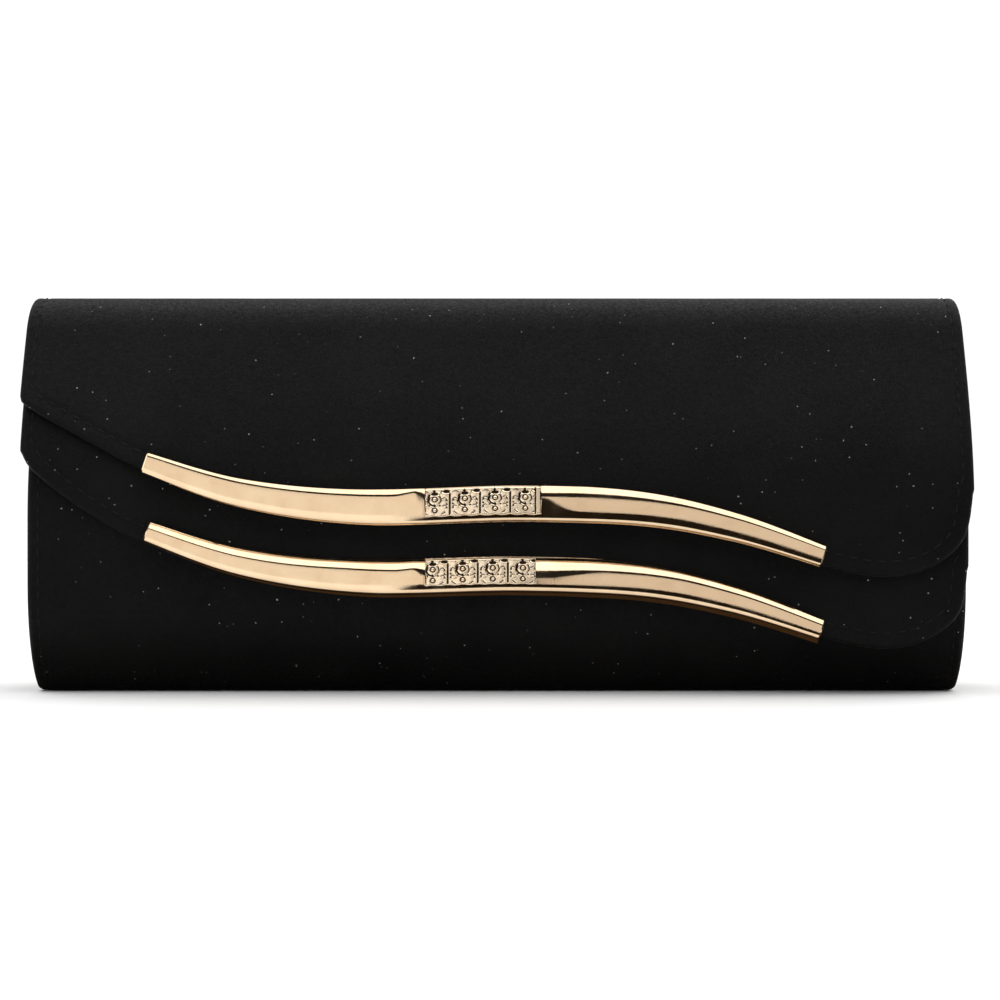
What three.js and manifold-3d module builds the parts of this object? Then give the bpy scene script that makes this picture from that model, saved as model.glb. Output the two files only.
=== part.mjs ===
// An envelope clutch purse with two layered flaps, each ending in a curved metal bar.
// Millimetres. The purse stands on its base: +Z up, front towards -Y, +X to the right as the front is seen.
// The origin is the centre of the flat of the base.

import * as THREE from "three";
import { mergeVertices } from "three/addons/utils/BufferGeometryUtils.js";
import Module from "manifold-3d";

const wasm = await Module();
wasm.setup();

// Driving dimensions

const GAP = 0.3; // clearance between pieces that lie against each other
const ROUND_SIDES = 16;
const DEG = Math.PI / 180;

// Side profile, as (Y, Z) points
const BODY = {
  halfWidth: 123.2,
  halfDepth: 24,
  widestZ: 28.8, // height where the rounded base meets the walls
  baseHeight: 31.2, // vertical semi-axis of the rounded base, which the floor cuts flat
};
const ROLL = { y: 1.0, z: 89.0, radius: 17, backDeg: 6.5, frontDeg: 155 }; // the top fold of the flaps
const FLAP_STRAIGHT_Z = 46.8; // below this the flaps hang straight
const SLOPE_FULLNESS = 18; // how far above that the sloping front keeps its fullness
const FLAP_END_Z = 8; // lower end of the strip that a flap is cut from
const MOUTH_AT = 0.25; // how far down the sloping front the mouth's front edge is, from 0 to 1

// Layers of a wall, each from its outer face to its inner face, measured inwards
const FLAP_LAYERS = { cover: [0, 0.5], board: [0.8, 1.8], lining: [2.1, 2.5] };
const BODY_LAYERS = {
  cover: [0, 0.6],
  board: [0.9, 1.9], // of the front, where a washer lies between board and lining
  thickBoard: [0.9, 2.8], // of the base and the back
  lining: [3.1, 3.5],
  pocket: [3.8, 4.3],
};
const FLAP_THICKNESS = FLAP_LAYERS.lining[1];
const OUTER_FLAP_IN = 0; // how far the outer flap's face is inside the outermost surface
const INNER_FLAP_IN = FLAP_THICKNESS + GAP;
const BODY_IN = 2 * INNER_FLAP_IN;
const OUTERMOST_Y = -BODY.halfDepth - BODY_IN;

// Lower edges of the flaps, as (X, Z) points from the left side to the right side
const OUTER_FLAP_EDGE = [
  [-125.4, 78.6], [-123.3, 75.8], [-107.2, 66.8], [-92, 59], [-66, 49.2], [-35, 45.4],
  [6, 46.2], [37, 45.2], [62, 40.6], [86.8, 33.3], [101, 31], [113, 33.6], [121.6, 41.2], [124.2, 53.8],
];
const INNER_FLAP_EDGE = [
  [-125, 64.2], [-120.8, 58.2], [-107, 47.8], [-92, 39.8], [-66, 31], [-35, 27],
  [6, 27.6], [37, 26], [62, 21.4], [86, 14.8], [101, 12.2], [112.4, 14.6], [121, 21.8], [123.2, 33.8],
];
const BOARD_INSET = 1.1; // how far a flap's board stays inside its cover
const LINING_INSET = 0.6;

// Metal bars
const BAR = {
  line: [[-91.1, 60.7], [-66.4, 52.9], [-35.4, 49.3], [6, 50.2], [37.1, 48.9], [62, 44], [84.6, 36.5]],
  endHalfWidth: 2.65,
  middleHalfWidth: 4.65,
  thickness: 2.5,
  bevel: 1.1,
  bevelWidth: 1.5,
  wall: 0.8,
  steps: 34,
  screwAt: [0.12, 0.5, 0.88], // fractions of the bar's length
};
const LOWER_BAR_DROP = 18.5; // the lower bar repeats the upper one, this much lower and slightly turned
const LOWER_BAR_TURN = -0.45 * DEG;
const ORNAMENT = { x: -3.6, columns: 4, pitch: 7.4, rowPitch: 2.9, beadRadius: 0.9, raised: 0.3 };

// Screws, their bosses in the bars and their holes
const SCREW = { headRadius: 1.6, headHeight: 0.4, shankRadius: 0.7, holeRadius: 1.0, bossRadius: 1.8 };
const HEAD_POCKET_DEPTH = 0.55;

// Magnetic snap between the inner flap and the front wall
const SNAP = {
  z: 40.3,
  radius: 6.5,
  studRadius: 2.0,
  studLength: 1.2,
  holeRadius: 3.4,
  holeDepth: 1.3,
  socketHeight: 1.6,
  shaftRadius: 1.0,
  washerRadius: 4.0,
  washerHeight: 0.4,
  washerPocketDepth: 0.7,
};

const GUSSET = {
  edgeX: 121.6,
  foldDepth: 13,
  thickness: 0.6,
  bottomZ: 5,
  topZ: 79,
  spanSteps: 8,
  heightSteps: 12,
};
const POCKET = { halfWidth: 68, bottomZ: 24, topZ: 72 };
const BODY_INSET = { board: 1.7, lining: 1.2 }; // how far board and lining stay inside the body's ends

// Materials

const GLITTER_BLACK = { color: 0x0b0b0c, roughness: 0.85, metalness: 0 };
const BOARD_GREY = { color: 0x8a8378, roughness: 0.9, metalness: 0 };
const SATIN_BLACK = { color: 0x101012, roughness: 0.45, metalness: 0 };
const PALE_GOLD = { color: 0xe8c9a0, roughness: 0.12, metalness: 1 };
const NICKEL = { color: 0xb9b6ae, roughness: 0.3, metalness: 1 };

// Profile lines. Each runs with the inside of the purse on its left.

const point = (y, z) => new THREE.Vector2(y, z);

function inwardNormal(line, i) {
  const before = line[Math.max(i - 1, 0)];
  const after = line[Math.min(i + 1, line.length - 1)];
  const along = after.clone().sub(before).normalize();
  return point(-along.y, along.x);
}

const inset = (line, distance) =>
  line.map((p, i) => p.clone().addScaledVector(inwardNormal(line, i), distance));

const arc = (y, z, radiusY, radiusZ, fromDeg, toDeg, steps) =>
  new THREE.EllipseCurve(y, z, radiusY, radiusZ, fromDeg * DEG, toDeg * DEG, false).getPoints(steps);

const rollPoint = (deg) =>
  point(ROLL.y + ROLL.radius * Math.cos(deg * DEG), ROLL.z + ROLL.radius * Math.sin(deg * DEG));

const alongRoll = (deg) => point(-Math.sin(deg * DEG), Math.cos(deg * DEG));

// The sloping front, from the top fold to where the flaps hang straight.
function frontSlope() {
  const top = rollPoint(ROLL.frontDeg);
  return new THREE.CubicBezierCurve(
    top,
    top.clone().addScaledVector(alongRoll(ROLL.frontDeg), 14),
    point(OUTERMOST_Y, FLAP_STRAIGHT_Z + SLOPE_FULLNESS),
    point(OUTERMOST_Y, FLAP_STRAIGHT_Z),
  );
}

// The outermost surface over the flaps, from the hinge at the back, over the top and down the front.
function flapLine() {
  const gapDeg = GAP / ROLL.radius / DEG;
  return [
    ...arc(ROLL.y, ROLL.z, ROLL.radius, ROLL.radius, ROLL.backDeg + gapDeg, ROLL.frontDeg, 14),
    ...frontSlope().getPoints(10).slice(1),
    point(OUTERMOST_Y, FLAP_END_Z),
  ];
}

// The front wall above the rounded base, from the mouth down.
function frontWall() {
  const slope = frontSlope();
  const steps = 8;
  const above = Array.from({ length: steps + 1 }, (_, i) =>
    slope.getPoint(MOUTH_AT + ((1 - MOUTH_AT) * i) / steps),
  );
  return inset(above, BODY_IN);
}

const baseArc = (fromDeg, toDeg, steps) =>
  arc(0, BODY.widestZ, BODY.halfDepth, BODY.baseHeight, fromDeg, toDeg, steps);

const FLOOR_DEG = Math.asin(BODY.widestZ / BODY.baseHeight) / DEG; // where the floor cuts the rounded base

// The back wall above the rounded base, up to the hinge.
function backWall() {
  const hinge = rollPoint(ROLL.backDeg);
  const up = alongRoll(ROLL.backDeg);
  return new THREE.CubicBezierCurve(
    point(BODY.halfDepth, BODY.widestZ),
    point(BODY.halfDepth, FLAP_STRAIGHT_Z),
    hinge.clone().addScaledVector(up, -20),
    hinge.clone().addScaledVector(up, -GAP),
  ).getPoints(10);
}

const bodyLine = () => [
  ...frontWall(),
  ...baseArc(180, 180 + FLOOR_DEG, 8),
  ...baseArc(360 - FLOOR_DEG, 360, 8),
  ...backWall().slice(1),
];

// Solids

function solid(geometry) {
  const bare = geometry.clone();
  bare.deleteAttribute("normal");
  bare.deleteAttribute("uv");
  const merged = mergeVertices(bare, 1e-4);
  return new wasm.Manifold(
    new wasm.Mesh({
      numProp: 3,
      vertProperties: merged.attributes.position.array,
      triVerts: new Uint32Array(merged.index.array),
    }),
  );
}

function geometryOf(made) {
  const mesh = made.getMesh();
  const geometry = new THREE.BufferGeometry();
  geometry.setAttribute("position", new THREE.BufferAttribute(mesh.vertProperties, 3));
  geometry.setIndex(new THREE.BufferAttribute(mesh.triVerts, 1));
  geometry.computeVertexNormals();
  return geometry;
}

const extrude = (shape, depth, options = { bevelEnabled: false }) =>
  new THREE.ExtrudeGeometry(shape, { depth, steps: 1, ...options });

// A shape in (Y, Z), drawn out along X.
const WIDTHWAYS = new THREE.Matrix4().makeBasis(
  new THREE.Vector3(0, 1, 0),
  new THREE.Vector3(0, 0, 1),
  new THREE.Vector3(1, 0, 0),
);
const acrossWidth = (shape, fromX, toX) =>
  solid(extrude(shape, toX - fromX).applyMatrix4(WIDTHWAYS).translate(fromX, 0, 0));

// A shape in (X, Z), drawn out along Y.
const DEPTHWAYS = new THREE.Matrix4().makeBasis(
  new THREE.Vector3(1, 0, 0),
  new THREE.Vector3(0, 0, 1),
  new THREE.Vector3(0, -1, 0),
);
const throughDepth = (shape, fromY, toY, options) =>
  solid(extrude(shape, toY - fromY, options).applyMatrix4(DEPTHWAYS).translate(0, toY, 0));

const disc = (x, z, radius, fromY, toY) =>
  solid(
    new THREE.CylinderGeometry(radius, radius, toY - fromY, ROUND_SIDES)
      .rotateY(Math.PI / ROUND_SIDES)
      .translate(x, (fromY + toY) / 2, z),
  );

// A sheet that follows a profile line across the whole width.
function sheet(line, [outer, inner], fromX, toX) {
  const section = new THREE.Shape([...inset(line, outer), ...inset(line, inner).reverse()]);
  return acrossWidth(section, fromX, toX);
}

const bodySheet = (line, layer, endInset = 0) =>
  sheet(line, layer, -BODY.halfWidth + endInset, BODY.halfWidth - endInset);

// Bars

const barCurve = () => new THREE.SplineCurve(BAR.line.map(([x, z]) => point(x, z)));

// The lower bar's centre line is the upper one's, dropped and slightly turned.
function lowered(curve) {
  const centre = curve.getPointAt(0.5);
  return new THREE.SplineCurve(
    curve.points.map((p) => {
      const turned = p.clone().rotateAround(centre, LOWER_BAR_TURN);
      return turned.setY(turned.y - LOWER_BAR_DROP);
    }),
  );
}

const halfWidthAt = (u) => {
  const fullness = Math.min(1, Math.sin(Math.PI * u) * 1.12);
  return BAR.endHalfWidth + (BAR.middleHalfWidth - BAR.endHalfWidth) * fullness;
};

// The bar's outline as the front is seen, made smaller all round by a margin.
function barOutline(curve, margin) {
  const endTrim = margin / curve.getLength();
  const upper = [];
  const lower = [];
  for (let i = 0; i <= BAR.steps; i++) {
    const u = endTrim + ((1 - 2 * endTrim) * i) / BAR.steps;
    const centre = curve.getPointAt(u);
    const along = curve.getTangentAt(u);
    const across = point(-along.y, along.x).multiplyScalar(halfWidthAt(u) - margin);
    upper.push(centre.clone().add(across));
    lower.push(centre.clone().sub(across));
  }
  return new THREE.Shape([...lower, ...upper.reverse()]);
}

const screwPlaces = (curve) => BAR.screwAt.map((u) => curve.getPointAt(u));

const ornamentBeads = (curve) =>
  Array.from({ length: ORNAMENT.columns * 2 }, (_, i) => {
    const column = Math.floor(i / 2) - (ORNAMENT.columns - 1) / 2;
    const x = ORNAMENT.x + column * ORNAMENT.pitch;
    const [left, right] = [curve.getPointAt(0), curve.getPointAt(1)];
    const centre = curve.getPointAt((x - left.x) / (right.x - left.x));
    return point(x, centre.y + (i % 2 ? 0.5 : -0.5) * ORNAMENT.rowPitch);
  });

// A hollow-backed bar whose back lies just off the face of its flap.
function bar(curve, flapFaceY) {
  const back = flapFaceY - GAP;
  const front = back - BAR.thickness;
  const rounded = {
    bevelEnabled: true,
    bevelThickness: BAR.bevel,
    bevelSize: BAR.bevelWidth,
    bevelOffset: -BAR.bevelWidth,
    bevelSegments: 2,
  };
  const blank = throughDepth(barOutline(curve, 0), front + BAR.bevel, back + BAR.bevel, rounded);
  const behind = solid(new THREE.BoxGeometry(400, 20, 400).translate(0, back + 10, 0));
  const hollow = throughDepth(barOutline(curve, BAR.wall + BAR.bevelWidth / 2), front + BAR.wall, back + 1);
  let made = blank.subtract(behind).subtract(hollow);
  for (const place of screwPlaces(curve)) {
    const boss = disc(place.x, place.y, SCREW.bossRadius, front + BAR.wall / 2, back);
    const hole = disc(place.x, place.y, SCREW.holeRadius, front + BAR.wall, back + 1);
    made = made.add(boss).subtract(hole);
  }
  for (const bead of ornamentBeads(curve)) {
    made = made.add(disc(bead.x, bead.y, ORNAMENT.beadRadius, front - ORNAMENT.raised, front + BAR.wall / 2));
  }
  return made;
}

// A screw whose head sits in the board's pocket and whose shank ends in the bar's boss.
function screw(place, flapFaceY) {
  const headBack = flapFaceY + FLAP_LAYERS.board[1] - 0.05;
  const headFront = headBack - SCREW.headHeight;
  const tip = flapFaceY - GAP - BAR.thickness + BAR.wall + GAP;
  const shank = disc(place.x, place.y, SCREW.shankRadius, tip, headFront + 0.1);
  return disc(place.x, place.y, SCREW.headRadius, headFront, headBack).add(shank);
}

// Flaps

// A flap's outline as the front is seen, with its lower edge moved in by a margin.
function flapOutline(edge, margin) {
  const middle = (edge[0][0] + edge.at(-1)[0]) / 2;
  const halfWidth = edge.at(-1)[0] - middle;
  const shrink = (halfWidth - margin) / halfWidth;
  const moved = edge.map(([x, z]) => point(middle + (x - middle) * shrink, z + margin));
  const lower = new THREE.SplineCurve(moved);
  const outline = new THREE.Shape(lower.getPoints(2 * edge.length));
  outline.lineTo(outline.currentPoint.x, 120);
  outline.lineTo(middle - halfWidth * shrink, 120);
  outline.closePath();
  return outline;
}

const flapSheet = (edge, flapIn, [outer, inner], margin = 0) =>
  sheet(flapLine(), [flapIn + outer, flapIn + inner], -130, 130).intersect(
    throughDepth(flapOutline(edge, margin), -60, 40),
  );

function bore(made, places, radius, fromY, toY) {
  return places.reduce((left, place) => left.subtract(disc(place.x, place.y, radius, fromY, toY)), made);
}

// Cover, board, lining, bar and screws of one flap, with the screws' holes through cover and board.
function flap(edge, flapIn, curve) {
  const face = OUTERMOST_Y + flapIn;
  const places = screwPlaces(curve);
  const boardBack = face + FLAP_LAYERS.board[1];
  const skin = flapSheet(edge, flapIn, FLAP_LAYERS.cover);
  const cover = bore(skin, places, SCREW.holeRadius, face - 1, boardBack);
  const drilled = bore(
    flapSheet(edge, flapIn, FLAP_LAYERS.board, BOARD_INSET),
    places,
    SCREW.holeRadius,
    face,
    boardBack + 1,
  );
  const board = bore(drilled, places, SCREW.headRadius + GAP, boardBack - HEAD_POCKET_DEPTH, boardBack + 1);
  return {
    cover,
    board,
    lining: flapSheet(edge, flapIn, FLAP_LAYERS.lining, LINING_INSET),
    bar: bar(curve, face),
    screws: places.map((place) => screw(place, face)),
  };
}

// Magnetic snap

const FRONT_Y = -BODY.halfDepth; // outer face of the front wall at the snap's height
const snapPlace = [point(0, SNAP.z)];

function snapSocket() {
  const back = FRONT_Y + SNAP.socketHeight;
  const cap = disc(0, SNAP.z, SNAP.radius, FRONT_Y, back);
  const shaft = disc(0, SNAP.z, SNAP.shaftRadius, back - 0.1, FRONT_Y + BODY_LAYERS.lining[0] - GAP);
  return cap.add(shaft).subtract(disc(0, SNAP.z, SNAP.holeRadius, FRONT_Y - 1, FRONT_Y + SNAP.holeDepth));
}

function snapSocketWasher() {
  const front = FRONT_Y + BODY_LAYERS.board[1] + GAP;
  const plate = disc(0, SNAP.z, SNAP.washerRadius + 1.5, front, front + SNAP.washerHeight);
  return bore(plate, snapPlace, SNAP.shaftRadius + GAP, front - 1, front + 1);
}

const INNER_FACE_Y = OUTERMOST_Y + INNER_FLAP_IN; // outer face of the inner flap at the snap's height

function snapStud() {
  const back = INNER_FACE_Y + FLAP_LAYERS.lining[1];
  const front = INNER_FACE_Y + FLAP_LAYERS.lining[0];
  const cap = disc(0, SNAP.z, SNAP.radius, front, back);
  const stud = disc(0, SNAP.z, SNAP.studRadius, front, back + SNAP.studLength);
  const shaft = disc(0, SNAP.z, SNAP.shaftRadius, INNER_FACE_Y + FLAP_LAYERS.board[0] + 0.1, front + 0.1);
  return cap.add(stud).add(shaft);
}

function snapStudWasher() {
  const front = INNER_FACE_Y + FLAP_LAYERS.board[0] + 0.05;
  const plate = disc(0, SNAP.z, SNAP.washerRadius, front, front + SNAP.washerHeight);
  return bore(plate, snapPlace, SNAP.shaftRadius + GAP, front - 1, front + 1);
}

// Ends

// Where a line crosses a height, as its Y, walking the line from its start.
function crossing(line, z) {
  const i = line.findIndex((p, k) => k > 0 && (line[k - 1].y - z) * (p.y - z) <= 0);
  const [a, b] = [line[i - 1], line[i]];
  return a.x + ((b.x - a.x) * (z - a.y)) / (b.y - a.y);
}

// A folded end wall between the front and the back of the lining: a sheet pleated inwards along its middle.
function gusset(side) {
  const inner = inset(bodyLine(), BODY_LAYERS.lining[1] + GAP);
  const fromBack = [...inner].reverse();
  const shape = new THREE.BoxGeometry(1, 1, 1, 1, GUSSET.spanSteps, GUSSET.heightSteps);
  const at = shape.attributes.position;
  for (let i = 0; i < at.count; i++) {
    const z = GUSSET.bottomZ + (at.getZ(i) + 0.5) * (GUSSET.topZ - GUSSET.bottomZ);
    const front = crossing(inner, z);
    const back = crossing(fromBack, z);
    const y = front + (at.getY(i) + 0.5) * (back - front);
    const spread = (back - front) / (2 * (BODY.halfDepth - BODY_LAYERS.lining[1] - GAP));
    const fold = GUSSET.foldDepth * spread * (1 - Math.abs(2 * at.getY(i)));
    at.setXYZ(i, side * (GUSSET.edgeX - fold) + at.getX(i) * GUSSET.thickness, y, z);
  }
  return solid(shape);
}

// Assembly

function mesh(name, made, look) {
  const piece = new THREE.Mesh(geometryOf(made), new THREE.MeshStandardMaterial(look));
  piece.name = name;
  return piece;
}

function bodyGroup() {
  const group = new THREE.Group();
  const snapHole = (made) =>
    bore(made, snapPlace, SNAP.radius + GAP, FRONT_Y - 1, FRONT_Y + BODY_LAYERS.lining[0]);
  const frontLine = [...frontWall(), ...baseArc(180, 180 + 45, 5)];
  const baseLine = [...baseArc(180 + 55, 180 + FLOOR_DEG, 3), ...baseArc(360 - FLOOR_DEG, 360 - 55, 3)];
  const backLine = [...baseArc(360 - 45, 360, 5), ...backWall().slice(1)];
  const pocketLine = backLine.filter((p) => p.y >= POCKET.bottomZ && p.y <= POCKET.topZ);
  const pocket = sheet(pocketLine, BODY_LAYERS.pocket, -POCKET.halfWidth, POCKET.halfWidth);
  group.add(
    mesh("body_cover", snapHole(bodySheet(bodyLine(), BODY_LAYERS.cover)), GLITTER_BLACK),
    mesh("front_board", snapHole(bodySheet(frontLine, BODY_LAYERS.board, BODY_INSET.board)), BOARD_GREY),
    mesh("base_board", bodySheet(baseLine, BODY_LAYERS.thickBoard, BODY_INSET.board), BOARD_GREY),
    mesh("back_board", bodySheet(backLine, BODY_LAYERS.thickBoard, BODY_INSET.board), BOARD_GREY),
    mesh("body_lining", bodySheet(bodyLine(), BODY_LAYERS.lining, BODY_INSET.lining), SATIN_BLACK),
    mesh("slip_pocket", pocket, SATIN_BLACK),
    mesh("gusset_left", gusset(-1), GLITTER_BLACK),
    mesh("gusset_right", gusset(1), GLITTER_BLACK),
    mesh("snap_socket", snapSocket(), NICKEL),
    mesh("snap_socket_washer", snapSocketWasher(), NICKEL),
  );
  return group;
}

function flapGroup(name, barName, pieces) {
  const group = new THREE.Group();
  group.add(
    mesh(name + "_cover", pieces.cover, GLITTER_BLACK),
    mesh(name + "_board", pieces.board, BOARD_GREY),
    mesh(name + "_lining", pieces.lining, SATIN_BLACK),
    mesh(barName, pieces.bar, PALE_GOLD),
    ...pieces.screws.map((made, i) => mesh(`${barName}_screw_${i + 1}`, made, NICKEL)),
  );
  return group;
}

function innerFlapGroup() {
  const pieces = flap(INNER_FLAP_EDGE, INNER_FLAP_IN, lowered(barCurve()));
  const boardFront = INNER_FACE_Y + FLAP_LAYERS.board[0];
  const boardBack = INNER_FACE_Y + FLAP_LAYERS.board[1];
  pieces.lining = bore(pieces.lining, snapPlace, SNAP.radius + GAP, boardBack, FRONT_Y + 1);
  const washerPocketEnd = boardFront + SNAP.washerPocketDepth;
  pieces.board = bore(pieces.board, snapPlace, SNAP.shaftRadius + GAP, boardFront, boardBack + 1);
  pieces.board = bore(pieces.board, snapPlace, SNAP.washerRadius + GAP, boardFront - 0.1, washerPocketEnd);
  const group = flapGroup("inner_flap", "lower_bar", pieces);
  group.add(mesh("snap_stud", snapStud(), NICKEL), mesh("snap_stud_washer", snapStudWasher(), NICKEL));
  return group;
}

const purse = new THREE.Group();
purse.add(
  bodyGroup(),
  innerFlapGroup(),
  flapGroup("outer_flap", "upper_bar", flap(OUTER_FLAP_EDGE, OUTER_FLAP_IN, barCurve())),
);

export default purse;
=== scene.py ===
"""The looks of an envelope clutch purse with two layered flaps and two metal bars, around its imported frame.

Shapes are worked out in millimetres and become metres when a mesh is made. The purse stands on its
base: +Z up, front towards -Y, +X to the right as the front is seen.
"""

import math

import bmesh
import bpy
import numpy as np
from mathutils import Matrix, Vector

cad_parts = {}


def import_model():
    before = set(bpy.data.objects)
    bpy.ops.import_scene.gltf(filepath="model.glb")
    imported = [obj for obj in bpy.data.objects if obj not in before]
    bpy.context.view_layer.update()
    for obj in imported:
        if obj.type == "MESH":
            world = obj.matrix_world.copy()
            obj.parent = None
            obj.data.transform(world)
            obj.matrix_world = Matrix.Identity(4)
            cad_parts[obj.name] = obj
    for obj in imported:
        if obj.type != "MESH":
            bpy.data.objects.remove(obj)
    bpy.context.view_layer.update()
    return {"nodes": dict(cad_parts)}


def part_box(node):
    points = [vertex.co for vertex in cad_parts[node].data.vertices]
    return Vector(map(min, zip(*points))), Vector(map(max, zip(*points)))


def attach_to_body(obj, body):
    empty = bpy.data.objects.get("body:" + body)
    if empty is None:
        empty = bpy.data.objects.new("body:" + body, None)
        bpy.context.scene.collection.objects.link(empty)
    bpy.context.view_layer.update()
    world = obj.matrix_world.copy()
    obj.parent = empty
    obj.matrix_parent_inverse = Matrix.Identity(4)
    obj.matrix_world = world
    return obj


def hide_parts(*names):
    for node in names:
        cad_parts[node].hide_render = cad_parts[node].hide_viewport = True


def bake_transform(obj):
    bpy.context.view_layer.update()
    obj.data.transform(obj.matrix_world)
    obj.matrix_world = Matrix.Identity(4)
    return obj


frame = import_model()

# Driving dimensions, in millimetres

MM = 0.001
GAP = 0.3  # between pieces that lie against each other

BODY_HALF_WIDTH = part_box("body_cover")[1].x / MM
HALF_DEPTH = 24.0
WIDEST_Z = 28.8
BASE_HEIGHT = 31.2  # vertical semi-axis of the rounded base, which the floor cuts flat
FLOOR_DEG = math.degrees(math.asin(WIDEST_Z / BASE_HEIGHT))

ROLL = np.array([1.0, 89.0])  # centre of the top fold, as (Y, Z)
ROLL_RADIUS = 17.0
ROLL_BACK_DEG = 6.5
ROLL_FRONT_DEG = 155.0
FLAP_STRAIGHT_Z = 46.8
SLOPE_FULLNESS = 18.0
FLAP_END_Z = 8.0
MOUTH_AT = 0.25
MOUTH_OVER = 1.2  # how far the fabric reaches past the front board's top edge

FLAP_THICKNESS = 2.5
INNER_FLAP_IN = FLAP_THICKNESS + GAP
BODY_IN = 2 * INNER_FLAP_IN
OUTERMOST_Y = -HALF_DEPTH - BODY_IN

# Lower edges of the flaps, as (X, Z) points from the left side to the right side
OUTER_FLAP_EDGE = [
    [-125.4, 78.6], [-123.3, 75.8], [-107.2, 66.8], [-92, 59], [-66, 49.2], [-35, 45.4],
    [6, 46.2], [37, 45.2], [62, 40.6], [86.8, 33.3], [101, 31], [113, 33.6], [121.6, 41.2], [124.2, 53.8],
]
INNER_FLAP_EDGE = [
    [-125, 64.2], [-120.8, 58.2], [-107, 47.8], [-92, 39.8], [-66, 31], [-35, 27],
    [6, 27.6], [37, 26], [62, 21.4], [86, 14.8], [101, 12.2], [112.4, 14.6], [121, 21.8], [123.2, 33.8],
]

# Layers, as depths from the outer face of their wall inwards
FABRIC = 0.5
BODY_CORNER = 4.0  # rounding of the mouth's corners
FLARE_REACH = 16.0  # how far below the hinge the body's sides widen to meet the flap's
FLAP_WRAP = (0.0, 2.2)  # the fabric turned round the flap's edge
FLAP_BOARD = (0.6, 1.6)
FLAP_LINING = (2.23, 2.5)
BODY_WRAP = (0.0, 3.0)
BODY_LINING = (3.06, 3.5)
POCKET = {"half_width": 68.0, "bottom": 24.0, "top": 72.0, "dip": 2.5, "layer": (3.62, 4.0)}
POCKET_HEM = 9.0
HEM_LAYER = (4.02, 4.4)

# Where the fabric bends, as distances along the profile past the hinge
BODY_BEND = (-2.0, 1.5)  # the back into the outer flap, as the inner flap opens
INNER_BEND = (0.6, 8.0)
OUTER_BEND = (1.5, 9.0)
BOARD_START = 10.0
HINGE_STRIP = {"below": 7.0, "above": 8.0, "side": 1.8, "thickness": 0.3, "clearance": 0.05}
STRIP_STEP = (-4.0, 4.2)  # where it steps in from the back's lining to the flap's, and over what length

STITCH = {"pitch": 3.8, "length": 2.7, "radius": 0.24, "side": 3.0, "edge": 4.0}
STITCH_ARCH = {"proud": 0.08, "sink": 0.42, "taper": 0.75}
GROOVE_DEPTH = 0.2
GROOVE_WIDTH = 0.9

BAR_LINE = [[-91.1, 60.7], [-66.4, 52.9], [-35.4, 49.3], [6, 50.2], [37.1, 48.9], [62, 44], [84.6, 36.5]]
BAR_END_HALF_WIDTH = 2.65
BAR_MIDDLE_HALF_WIDTH = 4.65
BAR_HEIGHT = 2.5
LOWER_BAR_DROP = 18.5
LOWER_BAR_TURN = math.radians(-0.45)

SNAP_Z = 40.3
SNAP_RADIUS = 6.5
SNAP_PROUD = 0.12  # how far the socket's rim stands over the fabric
SNAP_RIM_OVER = 0.3  # how far the rim reaches past the hole in the fabric
FRONT_Y = -HALF_DEPTH
INNER_FACE_Y = OUTERMOST_Y + INNER_FLAP_IN

GUSSET = {"edge": 121.6, "fold": 13.0, "thickness": 0.6, "bottom": 5.0, "top": 79.0}
PLEAT = {"rounding": 0.006, "main": 0.82, "side": 0.18}

# Curves in the plane


def spline(points, steps=40):
    """A Catmull-Rom curve through points, as a dense line of points."""
    p = np.array(points, float)
    p = np.concatenate([p[:1], p, p[-1:]])
    t = np.linspace(0, 1, steps, endpoint=False)[:, None]
    made = []
    for a, b, c, d in zip(p, p[1:], p[2:], p[3:]):
        bend = (2 * a - 5 * b + 4 * c - d) * t**2 + (3 * b - a - 3 * c + d) * t**3
        made.append(0.5 * (2 * b + (c - a) * t + bend))
    return np.concatenate([*made, p[-1:]])


def length_along(points):
    return np.concatenate([[0.0], np.cumsum(np.linalg.norm(np.diff(points, axis=0), axis=1))])


def resample(points, count):
    """As many points, evenly spaced along the same line."""
    at = length_along(points)
    even = np.linspace(0, at[-1], count)
    return np.column_stack([np.interp(even, at, points[:, k]) for k in range(points.shape[1])])


def full_turn(count):
    """Angles evenly round a circle."""
    return np.linspace(0, 2 * math.pi, count, endpoint=False)


def unit(vectors):
    return vectors / np.linalg.norm(vectors, axis=1)[:, None]


def turned_left(directions):
    return np.column_stack([-directions[:, 1], directions[:, 0]])


def smoothstep(t):
    t = np.clip(t, 0, 1)
    return t * t * (3 - 2 * t)


# Profile lines


def arc(centre, radii, from_deg, to_deg, steps=40):
    """Points of an elliptic arc in (Y, Z)."""
    angle = np.radians(np.linspace(from_deg, to_deg, steps + 1))
    return np.column_stack([centre[0] + radii[0] * np.cos(angle), centre[1] + radii[1] * np.sin(angle)])


def bezier(a, b, c, d, steps=40):
    """Points of a cubic curve in (Y, Z)."""
    t = np.linspace(0, 1, steps + 1)[:, None]
    a, b, c, d = (np.array(p, float) for p in (a, b, c, d))
    return (1 - t) ** 3 * a + 3 * (1 - t) ** 2 * t * b + 3 * (1 - t) * t**2 * c + t**3 * d


def roll_point(deg):
    return ROLL + ROLL_RADIUS * np.array([math.cos(math.radians(deg)), math.sin(math.radians(deg))])


def along_roll(deg):
    return np.array([-math.sin(math.radians(deg)), math.cos(math.radians(deg))])


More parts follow.
